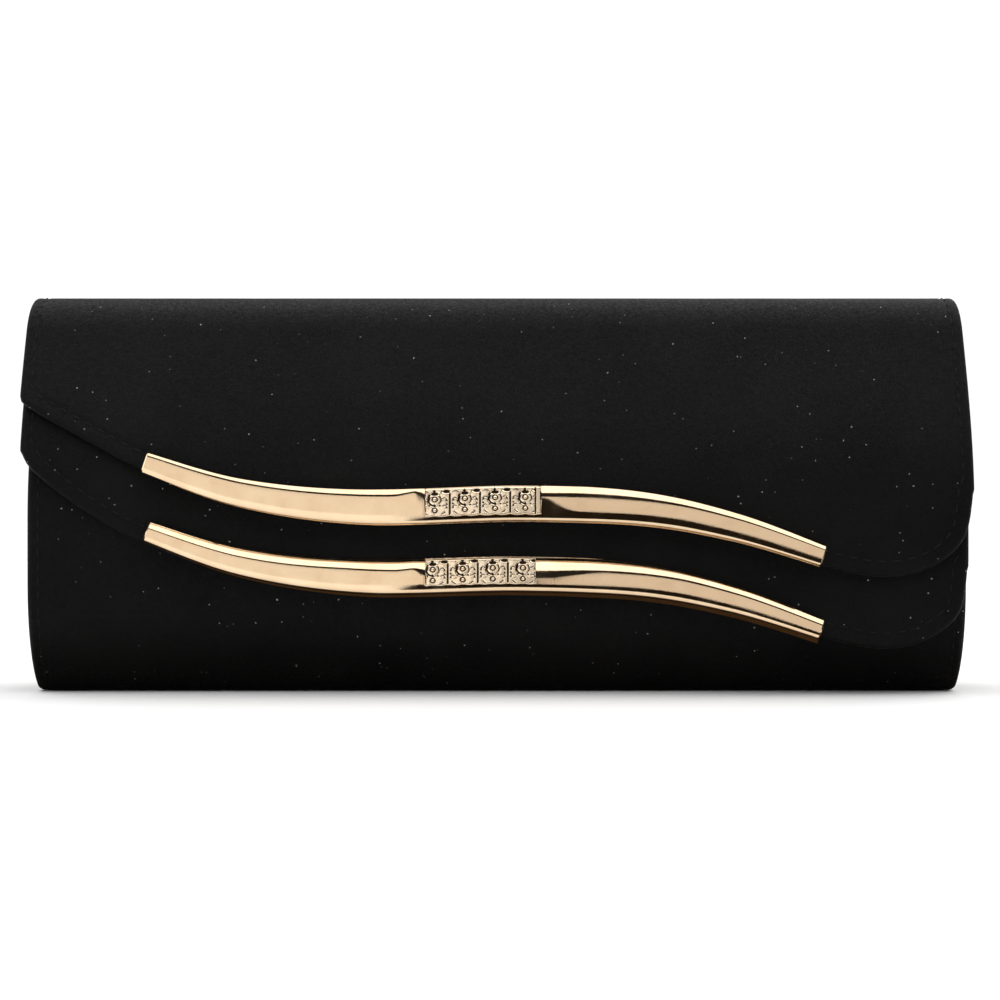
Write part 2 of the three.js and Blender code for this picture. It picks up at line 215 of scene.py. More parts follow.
class Line:
    """A profile line in (Y, Z), measured by length from its start, with the purse's inside on its left."""

    def __init__(self, *stretches):
        points = np.concatenate(stretches)
        steps = np.linalg.norm(np.diff(points, axis=0), axis=1)
        keep = np.concatenate([[True], steps > 1e-6])
        self.points = points[keep]
        self.at = length_along(self.points)
        self.inward = turned_left(unit(np.gradient(self.points, self.at, axis=0)))

    def place(self, x, at, depth):
        """(X, Y, Z) points at a distance along the line and a depth inside it."""
        pairs = zip(self.points.T, self.inward.T)
        y, z = (np.interp(at, self.at, p) + depth * np.interp(at, self.at, inward) for p, inward in pairs)
        return np.stack(np.broadcast_arrays(x, y, z), axis=-1)

    def nearest(self, point):
        """How far along the line the point lies."""
        return self.at[np.argmin(np.linalg.norm(self.points - point, axis=1))]

    def at_height(self, z, depth, start, end):
        """How far along a falling or rising stretch of the line the given heights are, at a depth."""
        at = np.linspace(start, end, 1500)
        heights = self.place(0.0, at, depth)[..., 2]
        order = np.argsort(heights)
        return np.interp(z, heights[order], at[order])


def front_slope(steps=60):
    """The sloping front, from the top fold to where the flaps hang straight."""
    top = roll_point(ROLL_FRONT_DEG)
    full = [OUTERMOST_Y, FLAP_STRAIGHT_Z + SLOPE_FULLNESS]
    return bezier(top, top + 14 * along_roll(ROLL_FRONT_DEG), full, [OUTERMOST_Y, FLAP_STRAIGHT_Z], steps)


def back_wall():
    hinge = roll_point(ROLL_BACK_DEG)
    up = along_roll(ROLL_BACK_DEG)
    return bezier([HALF_DEPTH, WIDEST_Z], [HALF_DEPTH, FLAP_STRAIGHT_Z], hinge - 20 * up, hinge)


def flap_line():
    """From the upper back, over the top and down the front, along the outermost face."""
    roll = arc(ROLL, (ROLL_RADIUS, ROLL_RADIUS), ROLL_BACK_DEG, ROLL_FRONT_DEG, 90)
    end = np.linspace([OUTERMOST_Y, FLAP_STRAIGHT_Z], [OUTERMOST_Y, FLAP_END_Z], 30)
    return Line(back_wall()[20:], roll, front_slope(), end)


def body_line():
    """From the mouth down the front, round the base, up the back and a little over the hinge."""
    slope = Line(front_slope(80))
    down = np.linspace(slope.at[round(80 * MOUTH_AT)] - MOUTH_OVER, slope.at[-1], 60)
    front = slope.place(0.0, down, BODY_IN)[:, 1:]
    wall = np.linspace(front[-1], [-HALF_DEPTH, WIDEST_Z], 20)
    radii = (HALF_DEPTH, BASE_HEIGHT)
    base_front = arc((0, WIDEST_Z), radii, 180, 180 + FLOOR_DEG)
    base_back = arc((0, WIDEST_Z), radii, 360 - FLOOR_DEG, 360)
    flat = np.linspace(base_front[-1], base_back[0], 16)
    over = arc(ROLL, (ROLL_RADIUS, ROLL_RADIUS), ROLL_BACK_DEG, ROLL_BACK_DEG + 30)
    return Line(front, wall, base_front, flat, base_back, back_wall(), over)


FLAP_LINE = flap_line()
BODY_LINE = body_line()
HINGE = roll_point(ROLL_BACK_DEG)
FLAP_HINGE = FLAP_LINE.nearest(HINGE)
BODY_HINGE = BODY_LINE.nearest(HINGE)

# Sheets


class Sheet:
    """A sheet cut from a wall: a straight end at the hinge, two sides, and a free edge.

    A point of it is (x, out): its place across the width and its distance from the straight end.
    """

    FINE_ZONE = 9.0  # how far from the free edge the mesh is fine
    FINE_STEP = 0.75
    COARSE_STEP = 2.2
    ACROSS_STEP = 1.25

    def __init__(self, line, start, direction, depth, edge, flare=None):
        self.line, self.start, self.direction, self.depth = line, start, direction, depth
        self.edge = edge
        self.flare = flare
        longest = edge[:, 1].max()
        fine = np.arange(0, self.FINE_ZONE, self.FINE_STEP)
        coarse = np.linspace(self.FINE_ZONE, longest, round(longest / self.COARSE_STEP))
        self.rows = 1 - np.concatenate([fine, coarse])[::-1] / longest
        self.columns = round(length_along(edge)[-1] / self.ACROSS_STEP)

    def place(self, points, depth):
        x, out = points[..., 0], points[..., 1]
        if self.flare:
            left, right, reach = self.flare
            share = smoothstep(1 - out / reach) * np.abs(x) / BODY_HALF_WIDTH
            x = x + share * np.where(x < 0, -left, right)
        return self.line.place(x, self.start + self.direction * out, self.depth + depth)

    def free_edge(self, side, edge):
        """The free edge moved in by a distance, between sides moved in by theirs."""
        spread = (1 - np.cos(np.linspace(0, math.pi, 800))) / 2
        left, right = self.edge[0, 0] + side, self.edge[-1, 0] - side
        x = left + (right - left) * spread
        across = np.abs(x[:, None] - self.edge[None, :, 0])
        reach = np.sqrt(np.maximum(edge**2 - across**2, 0))
        limit = np.where(across <= edge + 0.2, self.edge[None, :, 1] - reach, np.inf)
        return resample(np.column_stack([x, limit.min(axis=1)]), self.columns)

    def grid(self, side=0.0, edge=0.0):
        free = self.free_edge(side, edge)
        x = np.broadcast_to(free[None, :, 0], (len(self.rows), len(free)))
        return np.stack([x, self.rows[:, None] * free[None, :, 1]], axis=-1)

    def rim(self, side=0.0, edge=0.0):
        """Down the left side, along the free edge and up the right side."""
        return rim_of(self.grid(side, edge))

    def seam_distance(self, points, side, edge):
        """1 on a line of stitches that keeps those distances from the sides and the free edge, 0 at them."""
        x, out = points[..., 0], points[..., 1]
        from_side = np.minimum(x - self.edge[0, 0], self.edge[-1, 0] - x) / side
        sparse = self.edge[::6]
        gaps = np.hypot(x[..., None] - sparse[:, 0], out[..., None] - sparse[:, 1])
        return np.minimum(from_side, gaps.min(axis=-1) / edge)


def rim_of(grid):
    """The left side, the far end and the right side of a grid of points or of their numbers."""
    return np.concatenate([grid[:, 0], grid[-1, 1:-1], grid[::-1, -1]])


def loop_of(grid):
    """The whole way round a grid."""
    return np.concatenate([rim_of(grid), grid[0, -2:0:-1]])


def flap_sheet(edge, depth, begin):
    dense = spline(edge)
    top = FLAP_LINE.nearest(roll_point(90))
    at = FLAP_LINE.at_height(dense[:, 1], depth, top, FLAP_LINE.at[-1])
    start = FLAP_HINGE + begin
    return Sheet(FLAP_LINE, start, 1, depth, np.column_stack([dense[:, 0], at - start]))


def body_sheet(begin):
    """The body's wrap, from just over the hinge down the back and up the front to the mouth."""
    corner = BODY_CORNER
    start = BODY_HINGE + begin
    x = BODY_HALF_WIDTH * np.sin(np.linspace(-math.pi / 2, math.pi / 2, 600))
    past = np.maximum(np.abs(x) - (BODY_HALF_WIDTH - corner), 0)
    out = start - corner + np.sqrt(np.maximum(corner**2 - past**2, 0))
    flap_sides = (-OUTER_FLAP_EDGE[0][0], OUTER_FLAP_EDGE[-1][0])
    flare = (flap_sides[0] - BODY_HALF_WIDTH, flap_sides[1] - BODY_HALF_WIDTH, FLARE_REACH)
    return Sheet(BODY_LINE, start, -1, 0.0, np.column_stack([x, out]), flare)


def pocket_sheet():
    back_start = BODY_LINE.nearest([HALF_DEPTH, WIDEST_Z]) - 20
    heights = np.array([POCKET["bottom"], POCKET["top"]])
    at = BODY_LINE.at_height(heights, POCKET["layer"][1], back_start, BODY_HINGE)
    x = np.linspace(-POCKET["half_width"], POCKET["half_width"], 300)
    dip = POCKET["dip"] * np.cos(x / POCKET["half_width"] * math.pi / 2)
    return Sheet(BODY_LINE, at[0], 1, 0.0, np.column_stack([x, at[1] - at[0] - dip]))


# Meshes


SHARP_DEG = 50
EDGE_STEPS = 7
SLAB_EDGE_STEPS = 4
PUNCH_REACH = 3.0  # how far the cutting tool reaches to each side of the face


def new_object(name, data):
    made = bpy.data.objects.new(name, data)
    bpy.context.scene.collection.objects.link(made)
    return made


class Maker:
    """Collects blocks of points and the faces between them."""

    def __init__(self):
        self.points = []
        self.faces = []
        self.count = 0

    def add(self, points):
        index = np.arange(self.count, self.count + points[..., 0].size).reshape(points.shape[:-1])
        self.points.append(points.reshape(-1, 3))
        self.count += index.size
        return index

    def quads(self, index):
        corners = [index[:-1, :-1], index[:-1, 1:], index[1:, 1:], index[1:, :-1]]
        self.faces.extend(np.stack(corners, axis=-1).reshape(-1, 4).tolist())

    def face(self, index):
        self.faces.append([int(i) for i in index])

    def band(self, a, b):
        """Joins two closed rings."""
        self.quads(np.array([[*a, a[0]], [*b, b[0]]]))

    def tube(self, rings):
        """Joins closed rings in a row and caps both ends."""
        self.quads(np.concatenate([rings, rings[:, :1]], axis=1))
        self.face(rings[0])
        self.face(rings[-1])

    def piece(self, name, material, outward=None, sharp_deg=SHARP_DEG):
        """The finished piece. outward is (face number, direction) for a skin that is not closed."""
        mesh = bpy.data.meshes.new(name)
        mesh.from_pydata((np.concatenate(self.points) * MM).tolist(), [], self.faces)
        made = bmesh.new()
        made.from_mesh(mesh)
        bmesh.ops.recalc_face_normals(made, faces=made.faces[:])
        if outward is not None:
            made.faces.ensure_lookup_table()
            number, direction = outward
            if made.faces[number].normal.dot(direction) < 0:
                bmesh.ops.reverse_faces(made, faces=made.faces[:])
        made.to_mesh(mesh)
        made.free()
        mesh.shade_smooth()
        mesh.set_sharp_from_angle(angle=math.radians(sharp_deg))
        piece = new_object(name, mesh)
        piece.data.materials.append(material)
        return piece


def apply_modifiers(piece):
    """Makes the piece's modifiers part of its mesh."""
    shaped = piece.evaluated_get(bpy.context.evaluated_depsgraph_get())
    mesh = bpy.data.meshes.new_from_object(shaped)
    piece.modifiers.clear()
    piece.data = mesh
    mesh.set_sharp_from_angle(angle=math.radians(SHARP_DEG))


def thicken(piece, thickness):
    """Gives a skin its thickness, on the inside."""
    solidify = piece.modifiers.new("thickness", "SOLIDIFY")
    solidify.thickness = thickness * MM
    solidify.offset = -1
    apply_modifiers(piece)
    return piece


def edge_rings(sheet, rim, layer, count):
    """Rings of points round a panel's free edges, from its outer face to its inner face."""
    outer, inner = layer
    radius = (inner - outer) / 2
    away = turned_left(unit(np.gradient(rim, axis=0)))
    rings = []
    for turn in np.linspace(0, math.pi, count + 2)[1:-1]:
        depth = outer + radius * (1 - math.cos(turn))
        rings.append(sheet.place(rim + away * radius * math.sin(turn), depth))
    return rings


def seam_groove(sheet, points):
    """How much a line of stitches pulls the face in, in the fabric between the sides and the free edge."""
    near = sheet.seam_distance(points, STITCH["side"], STITCH["edge"])
    return GROOVE_DEPTH * np.exp(-(((near - 1) * STITCH["edge"] / GROOVE_WIDTH) ** 2))


def wrapped(name, sheet, layer, turn_in, material):
    """Fabric over a panel's face, round its free edges and a little way in behind."""
    outer, inner = layer
    radius = (inner - outer) / 2
    maker = Maker()
    grid = sheet.grid(radius, radius)
    face = maker.add(sheet.place(grid, outer + seam_groove(sheet, grid)))
    maker.quads(face)
    rings = [maker.add(ring) for ring in edge_rings(sheet, sheet.rim(radius, radius), layer, EDGE_STEPS)]
    behind = [
        maker.add(sheet.place(sheet.rim(radius + share * turn_in[0], radius + share * turn_in[1]), inner))
        for share in (0, 0.33, 0.67, 1)
    ]
    maker.quads(np.array([rim_of(face), *rings, *behind]))
    rows, columns = face.shape
    middle = (rows // 2) * (columns - 1) + columns // 2
    where = grid[rows // 2, columns // 2]
    out = sheet.place(where, -1.0) - sheet.place(where, 0.0)
    return thicken(maker.piece(name, material, (middle, out)), FABRIC)


def slab(name, sheet, layer, side, edge, material, begin=0.0):
    """A closed panel between two depths with rounded free edges. begin is cut away at the straight end."""
    outer, inner = layer
    radius = (inner - outer) / 2
    maker = Maker()
    grid = sheet.grid(side + radius, edge + radius)
    if begin:
        shift = (1 - sheet.rows)[:, None] * begin
        grid = np.stack([grid[..., 0], grid[..., 1] + shift], axis=-1)
    face = maker.add(sheet.place(grid, outer))
    back = maker.add(sheet.place(grid, inner))
    maker.quads(face)
    maker.quads(back)
    rim = rim_of(grid)
    rings = [maker.add(ring) for ring in edge_rings(sheet, rim, layer, SLAB_EDGE_STEPS)]
    face_rim = rim_of(face)
    back_rim = rim_of(back)
    maker.quads(np.array([face_rim, *rings, back_rim]))
    maker.quads(np.array([face[0], back[0]]))
    maker.face([face_rim[0], *[ring[0] for ring in rings], back_rim[0]])
    maker.face([face_rim[-1], *[ring[-1] for ring in rings], back_rim[-1]])
    return maker.piece(name, material)


THREAD_SIDES = 6
THREAD_RINGS = 7


def stitches(name, sheet, path, depth, material, side_sign=1):
    """A row of stitches along a path of the sheet. side_sign -1 puts it on the inner face."""
    at = length_along(path)
    maker = Maker()
    turn = full_turn(THREAD_SIDES)
    share = np.linspace(-1, 1, THREAD_RINGS)
    for middle in np.arange(STITCH["pitch"] / 2, at[-1], STITCH["pitch"]):
        run = middle + share * STITCH["length"] / 2
        points = np.column_stack([np.interp(run, at, path[:, k]) for k in range(2)])
        sink = -STITCH_ARCH["proud"] + STITCH_ARCH["sink"] * share**4
        centre = sheet.place(points, depth + side_sign * sink)
        out = side_sign * (sheet.place(points, depth - 1.0) - sheet.place(points, depth))
        across = np.cross(unit(np.gradient(centre, axis=0)), out)
        radius = STITCH["radius"] * np.sqrt(1 - STITCH_ARCH["taper"] * share**4)[:, None, None]
        ring = np.cos(turn)[None, :, None] * out[:, None] + np.sin(turn)[None, :, None] * across[:, None]
        maker.tube(maker.add(centre[:, None] + radius * ring))
    return maker.piece(name, material)


def lathe(name, profile, z, material, sides=64):
    """A round piece about an axis along Y at X 0, from (radius, Y) points that start and end on the axis."""
    maker = Maker()
    turn = full_turn(sides)
    rings = []
    for radius, y in profile:
        count = 1 if radius == 0 else sides
        ring = np.column_stack([radius * np.cos(turn), np.full(sides, y), z + radius * np.sin(turn)])
        rings.append(maker.add(ring[:count]))
    for a, b in zip(rings, rings[1:]):
        if len(a) == 1 or len(b) == 1:
            tip, ring = (a, b) if len(a) == 1 else (b, a)
            for i in range(sides):
                maker.face([tip[0], ring[i], ring[(i + 1) % sides]])
        else:
            maker.band(a, b)
    return maker.piece(name, material, sharp_deg=35)


def punch(piece, radius, y, z):
    """Cuts a round hole through a wall at a height, about an axis along Y at X 0."""
    near, far = y - PUNCH_REACH, y + PUNCH_REACH
    tool = lathe("punch", [(0, near), (radius, near), (radius, far), (0, far)], z, piece.data.materials[0])
    hole = piece.modifiers.new("hole", "BOOLEAN")
    hole.operation = "DIFFERENCE"
    hole.solver = "EXACT"
    hole.object = tool
    apply_modifiers(piece)
    bpy.data.objects.remove(tool)


# Materials


def material(name):
    """A new material, its nodes, its links and its Principled shader."""
    made = bpy.data.materials.new(name)
    made.use_nodes = True
    tree = made.node_tree
    return made, tree, tree.nodes["Principled BSDF"]


def feed(tree, socket, value):
    """Links another node's output to the socket, or sets the socket to a value."""
    if isinstance(value, bpy.types.NodeSocket):
        tree.links.new(value, socket)
    else:
        socket.default_value = value


def node(tree, kind, **values):
    """A new node. A value whose name is a socket goes to that socket, any other to the node itself."""
    made = tree.nodes.new(kind)
    for key, value in values.items():
        if key in made.inputs:
            feed(tree, made.inputs[key], value)
        else:
            setattr(made, key, value)
    return made


def fill(tree, shader, **values):
    """Feeds the shader's sockets, named with _ for a space."""
    for key, value in values.items():
        feed(tree, shader.inputs[key.replace("_", " ")], value)


def object_coordinates(tree):
    return node(tree, "ShaderNodeTexCoord").outputs["Object"]


def noise(tree, scale, detail=3.0, stretch=None):
    source = object_coordinates(tree)
    if stretch:
        source = node(tree, "ShaderNodeMapping", Scale=stretch, Vector=source).outputs["Vector"]
    return node(tree, "ShaderNodeTexNoise", Scale=scale, Detail=detail, Vector=source).outputs["Fac"]


def ramp(tree, source, low, high, from_at=0.0, to_at=1.0):
    """Turns a value into a colour between two."""
    made = node(tree, "ShaderNodeValToRGB", Fac=source)
    made.color_ramp.elements[0].position = from_at
    made.color_ramp.elements[1].position = to_at
    made.color_ramp.elements[0].color = (*low, 1)
    made.color_ramp.elements[1].color = (*high, 1)
    return made.outputs["Color"]


def spread(tree, source, low, high, from_low=0.0, from_high=1.0):
    """Turns a value's range into another."""
    ends = {"From Min": from_low, "From Max": from_high, "To Min": low, "To Max": high}
    return node(tree, "ShaderNodeMapRange", Value=source, **ends).outputs["Result"]


def maths(tree, operation, a, b, kind="ShaderNodeMath", output="Value"):
    made = node(tree, kind, operation=operation)
    feed(tree, made.inputs[0], a)
    feed(tree, made.inputs[1], b)
    return made.outputs[output]


def vector_maths(tree, operation, a, b, output="Vector"):
    return maths(tree, operation, a, b, "ShaderNodeVectorMath", output)


def bump(tree, height, distance, strength=1.0, under=None):
    made = node(tree, "ShaderNodeBump", Distance=distance, Strength=strength, Height=height)
    if under is not None:
        tree.links.new(under, made.inputs["Normal"])
    return made.outputs["Normal"]


def mix(tree, factor, a, b):
    """A colour mixed from two."""
    made = node(tree, "ShaderNodeMix", data_type="RGBA", Factor=factor)
    for socket, value in (("A", a), ("B", b)):
        target = [s for s in made.inputs if s.name == socket and s.type == "RGBA"][0]
        feed(tree, target, (*value, 1) if isinstance(value, tuple) else value)
    return [s for s in made.outputs if s.type == "RGBA"][0]


GLITTER_SCALE = 3400.0


def glitter_fabric():
    """Black suede with a fine glitter: tiny facets, each tilted its own way, and a few bright specks."""
    made, tree, shader = material("glitter fabric")
    at = object_coordinates(tree)
    facets = node(tree, "ShaderNodeTexVoronoi", Scale=GLITTER_SCALE, Vector=at)
    scaled = vector_maths(tree, "MULTIPLY", at, (GLITTER_SCALE,) * 3)
    offset = vector_maths(tree, "SUBTRACT", scaled, facets.outputs["Position"])
    tilt = vector_maths(tree, "SUBTRACT", facets.outputs["Color"], (0.5, 0.5, 0.5))
    lean = vector_maths(tree, "DOT_PRODUCT", offset, tilt, "Value")
    nap = noise(tree, 900.0, 4.0)
    patches = noise(tree, 45.0, 3.0)
    separate = node(tree, "ShaderNodeSeparateColor", Color=facets.outputs["Color"])
    speck = spread(tree, separate.outputs["Green"], 0.0, 1.0, 0.9992, 1.0)
    shade = ramp(tree, patches, (0.0020, 0.0019, 0.0020), (0.0042, 0.0040, 0.0038), 0.3, 0.75)
    colour = mix(tree, speck, shade, (0.5, 0.48, 0.45))
    shine = maths(tree, "MULTIPLY", speck, 0.6)
    dull = spread(tree, nap, 0.5, 0.72, 0.3, 0.7)
    rough = maths(tree, "SUBTRACT", dull, maths(tree, "MULTIPLY", speck, 0.3))
    normal = bump(tree, lean, 0.0002, 0.5, bump(tree, nap, 0.0002, 0.6))
    fill(tree, shader, Base_Color=colour, Metallic=shine, Roughness=rough, Normal=normal)
    fill(tree, shader, Specular_IOR_Level=0.10, Sheen_Weight=0.03, Sheen_Roughness=0.4)
    return made


def thread():
    """Matt black sewing thread with the twist of its plies."""
    made, tree, shader = material("thread")
    plies = noise(tree, 3500.0, 2.0)
    colour = ramp(tree, plies, (0.0018, 0.0018, 0.002), (0.006, 0.006, 0.0065), 0.35, 0.65)
    normal = bump(tree, plies, 0.0001, 0.6)
    fill(tree, shader, Base_Color=colour, Roughness=0.7, Specular_IOR_Level=0.2, Normal=normal)
    return made


def satin():
    """Black satin: long fine floats across the width and soft creases, with painted shade along the creases.
    """
    made, tree, shader = material("satin lining")
    floats = noise(tree, 700.0, 2.0, (0.12, 1.0, 1.0))
    creases = noise(tree, 28.0, 2.0, (1.0, 1.0, 2.2))
    # Painted shade: the colour follows the creases, darker in their hollows and lighter on their crests
    colour = ramp(tree, creases, (0.006, 0.006, 0.0075), (0.02, 0.02, 0.023), 0.3, 0.75)
    rough = spread(tree, floats, 0.28, 0.42, 0.3, 0.7)
    normal = bump(tree, creases, 0.0012, 0.5, bump(tree, floats, 0.00008, 0.5))
    fill(tree, shader, Base_Color=colour, Roughness=rough, Normal=normal)
    fill(tree, shader, Sheen_Weight=0.25, Sheen_Roughness=0.35, Anisotropic=0.5)
    return made


def greyboard():
    """Pressed grey board with paper fibres."""
    made, tree, shader = material("greyboard")
    fibres = noise(tree, 900.0, 5.0, (1.0, 1.0, 0.3))
    clouds = noise(tree, 60.0, 4.0)
    base = ramp(tree, clouds, (0.20, 0.18, 0.155), (0.30, 0.275, 0.24), 0.3, 0.7)
    flecks = maths(tree, "GREATER_THAN", fibres, 0.64)
    colour = mix(tree, flecks, base, (0.13, 0.12, 0.10))
    fill(tree, shader, Base_Color=colour, Roughness=0.9, Normal=bump(tree, fibres, 0.0002, 0.6))
    return made


def felt():
    """Pale grey interlining felt."""
    made, tree, shader = material("interlining")
    fibres = noise(tree, 1400.0, 6.0)
    colour = ramp(tree, fibres, (0.46, 0.46, 0.44), (0.64, 0.64, 0.62), 0.3, 0.7)
    normal = bump(tree, fibres, 0.0004, 0.8)
    fill(tree, shader, Base_Color=colour, Roughness=0.95, Sheen_Weight=0.3, Normal=normal)
    return made


PALE = (0.80, 0.585, 0.375)
PALER = (0.90, 0.68, 0.45)


def pale_gold(name, painted_cut_shade=False):
    """Polished pale gold plating, a little hazy. For a casting, the cuts are dark and dull: painted shade in
    the recesses, with random dark flecks besides.
    """
    made, tree, shader = material(name)
    haze = noise(tree, 160.0, 5.0)
    ripple = noise(tree, 55.0, 1.0)
    pits = noise(tree, 2200.0, 2.0)
    low, high, dull = ((0.97, 0.77, 0.55), (1.0, 0.84, 0.63), 0.05) if painted_cut_shade else (PALE, PALER, 0.0)
    colour = ramp(tree, haze, low, high, 0.3, 0.7)
    rough = spread(tree, haze, 0.05 + dull, 0.13 + dull, 0.35, 0.75)
    if painted_cut_shade:
        # Painted shade: the colour goes dark where a point lies deep in a cut, standing in for the shade in
        # the recesses. The flecks are random dark tone.
        recess_shade = node(tree, "ShaderNodeAttribute", attribute_name="recess_shade").outputs["Fac"]
        flecks = spread(tree, noise(tree, 2100.0, 3.0), 0.0, 0.8, 0.66, 0.72)
        dark = maths(tree, "MAXIMUM", spread(tree, recess_shade, 0.0, 1.0, 0.3, 0.55), flecks)
        colour = mix(tree, dark, colour, (0.028, 0.018, 0.011))
        rough = maths(tree, "ADD", rough, maths(tree, "MULTIPLY", dark, 0.2))
    normal = bump(tree, pits, 0.00002, 0.15, bump(tree, ripple, 0.0004, 0.08))
    fill(tree, shader, Base_Color=colour, Metallic=1.0, Roughness=rough, Normal=normal)
    return made


def nickel():
    """Brushed nickel of the snap, the washers and the screws."""
    made, tree, shader = material("nickel")
    brushed = noise(tree, 900.0, 4.0, (0.15, 1.0, 1.0))
    colour = ramp(tree, brushed, (0.56, 0.54, 0.50), (0.74, 0.72, 0.68), 0.3, 0.7)
    rough = spread(tree, brushed, 0.32, 0.48, 0.3, 0.7)
    normal = bump(tree, brushed, 0.00003, 0.4)
    fill(tree, shader, Base_Color=colour, Metallic=1.0, Roughness=rough, Normal=normal)
    return made


def floor_paper():
    made, tree, shader = material("studio floor")
    grain = noise(tree, 8.0, 2.0)
    colour = ramp(tree, grain, (0.88, 0.88, 0.88), (0.9, 0.9, 0.9))
    fill(tree, shader, Base_Color=colour, Roughness=0.9, Specular_IOR_Level=0.1)
    return made


FABRIC_LOOK = glitter_fabric()
THREAD_LOOK = thread()
SATIN_LOOK = satin()
BOARD_LOOK = greyboard()
FELT_LOOK = felt()
GOLD_LOOK = pale_gold("pale gold")
CAST_LOOK = pale_gold("cast gold", painted_cut_shade=True)
NICKEL_LOOK = nickel()

# Placing pieces on bodies

FOLD_DEG = 48.0  # how far round the top fold the bending part of a flap reaches
FOLD_BELOW = 10.0  # how far below the hinge the bending part of the body reaches


def flap_fold(points):
    """Which points of a flap lie close past the hinge."""
    y, z = (points - [0, *ROLL])[:, 1:].T
    return (y > 0) & (z < y * math.tan(math.radians(FOLD_DEG)))


def body_fold(points):
    """Which points of the body lie close to the hinge."""
    return (points[:, 1] > ROLL[0]) & (points[:, 2] > HINGE[1] - FOLD_BELOW)


def cut_out(piece, name, kept):
    """A copy of the piece with only some of its faces."""
    part = new_object(name, piece.data.copy())
    made = bmesh.new()
    made.from_mesh(part.data)
    made.faces.ensure_lookup_table()
    others = [face for face, keep in zip(made.faces, kept) if not keep]
    bmesh.ops.delete(made, geom=others, context="FACES")
    made.to_mesh(part.data)
    made.free()
    return part


def hang(piece, slot, replaced, rest_on, bodies, bend, line, hinge, near):
    """Parts the piece near the hinge: the rest moves with one body, and the near part becomes a piece of its
    own, which stays where it is.
    """
    name = piece.name
    centres = np.zeros(len(piece.data.polygons) * 3)
    piece.data.polygons.foreach_get("center", centres)
    fold = near(centres.reshape(-1, 3) / MM)
    piece.name = f"{name}_whole"
    rest = cut_out(piece, name, ~fold)
    bent = cut_out(piece, f"{name}_fold", fold)
    bpy.data.objects.remove(piece)
    finish(rest, slot, *replaced)
    finish(bent, slot)
    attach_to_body(rest, rest_on)
    blend_over(bent, bodies, bend, line, hinge)


def blend_over(piece, bodies, bend, line, hinge):
    """Works out where the bend from one body to the other would start and end, and bakes the piece's place
    into its mesh; the piece is not bent.
    """
    start, end = (tuple(line.place(0.0, hinge + at, 0.0) * MM) for at in bend)
    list(bodies)
    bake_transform(piece)
    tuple(start)
    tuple(end)


def finish(piece, slot, *replaced):
    """Hides the CAD nodes that the piece replaces."""
    if replaced:
        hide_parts(*replaced)


def attach(piece, body, slot, *replaced):
    """Finishes a piece that moves with one body."""
    finish(piece, slot, *replaced)
    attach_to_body(piece, body)


def repaint(name, look):
    """Gives a CAD node that is carried over its material."""
    materials = frame["nodes"][name].data.materials
    materials.clear()
    materials.append(look)


# Body

WALL = body_sheet(BODY_BEND[1])
LINING_BELOW_HINGE = 0.5


def body_fabric():
    """The body's fabric, parted where it would bend at the hinge, and its stitches, which all lie below that.
    """
    bodies = ("body", "inner_flap")
    cover = wrapped("body_fabric", WALL, BODY_WRAP, (3.5, 12.0), FABRIC_LOOK)
    punch(cover, SNAP_RADIUS - SNAP_RIM_OVER, FRONT_Y, SNAP_Z)
    hang(cover, "glitter_fabric", ["body_cover"], "body", bodies, BODY_BEND, BODY_LINE, BODY_HINGE, body_fold)
    path = WALL.rim(STITCH["side"], STITCH["edge"])
    seam = stitches("body_stitches", WALL, path[6:-6], GROOVE_DEPTH, THREAD_LOOK)
    attach(seam, "body", "glitter_fabric")


def body_lining():
    below = LINING_BELOW_HINGE
    below_hinge = Sheet(BODY_LINE, BODY_HINGE - below, -1, 0.0, WALL.edge - [0, BODY_BEND[1] + below])
    lining = slab("body_satin", below_hinge, BODY_LINING, 1.6, 9.0, SATIN_LOOK)
    attach(lining, "body", "satin_lining", "body_lining")


def hinge_strip():
    """The lining carried over the hinge, from the back's lining onto the inner flap's."""
    strip = HINGE_STRIP
    at = np.linspace(-strip["below"], strip["above"], 31)[:, None]
    x = np.linspace(-1, 1, 120) * (BODY_HALF_WIDTH - strip["side"])
    over = strip["thickness"] + strip["clearance"]
    low, high = (inner + over for inner in (BODY_LINING[1], INNER_FLAP_IN + FLAP_THICKNESS))
    depth = low + (high - low) * smoothstep((at - STRIP_STEP[0]) / STRIP_STEP[1])
    maker = Maker()
    maker.quads(maker.add(BODY_LINE.place(x, BODY_HINGE + at, depth)))
    made = thicken(maker.piece("hinge_satin", SATIN_LOOK, (0, (0, -1, 0))), strip["thickness"])
    finish(made, "satin_lining")
    blend_over(made, ("body", "inner_flap"), INNER_BEND, FLAP_LINE, FLAP_HINGE)


def boards():
    for name in ("front_board", "base_board", "back_board"):
        repaint(name, BOARD_LOOK)


def pocket():
    sheet = pocket_sheet()
    bag = slab("slip_pocket_satin", sheet, POCKET["layer"], 0, 0, SATIN_LOOK)
    attach(bag, "body", "satin_lining", "slip_pocket")
    tall = sheet.edge[:, 1].min()
    hem_sheet = Sheet(BODY_LINE, sheet.start + tall - POCKET_HEM, 1, 0.0, sheet.edge - [0, tall - POCKET_HEM])
    hem = slab("slip_pocket_hem", hem_sheet, HEM_LAYER, 0, 0, SATIN_LOOK)
    attach(hem, "body", "satin_lining")
    around = sheet.rim(1.6, 1.6)
    keep = (around[:, 1] < tall - POCKET_HEM) & (np.abs(around[:, 0]) > POCKET["half_width"] - 3)
    for name, side in (("left", -1), ("right", 1)):
        part = around[keep & (side * around[:, 0] > 0)]
        seam = stitches(f"slip_pocket_stitches_{name}", sheet, part, POCKET["layer"][1], THREAD_LOOK, -1)
        attach(seam, "body", "satin_lining")


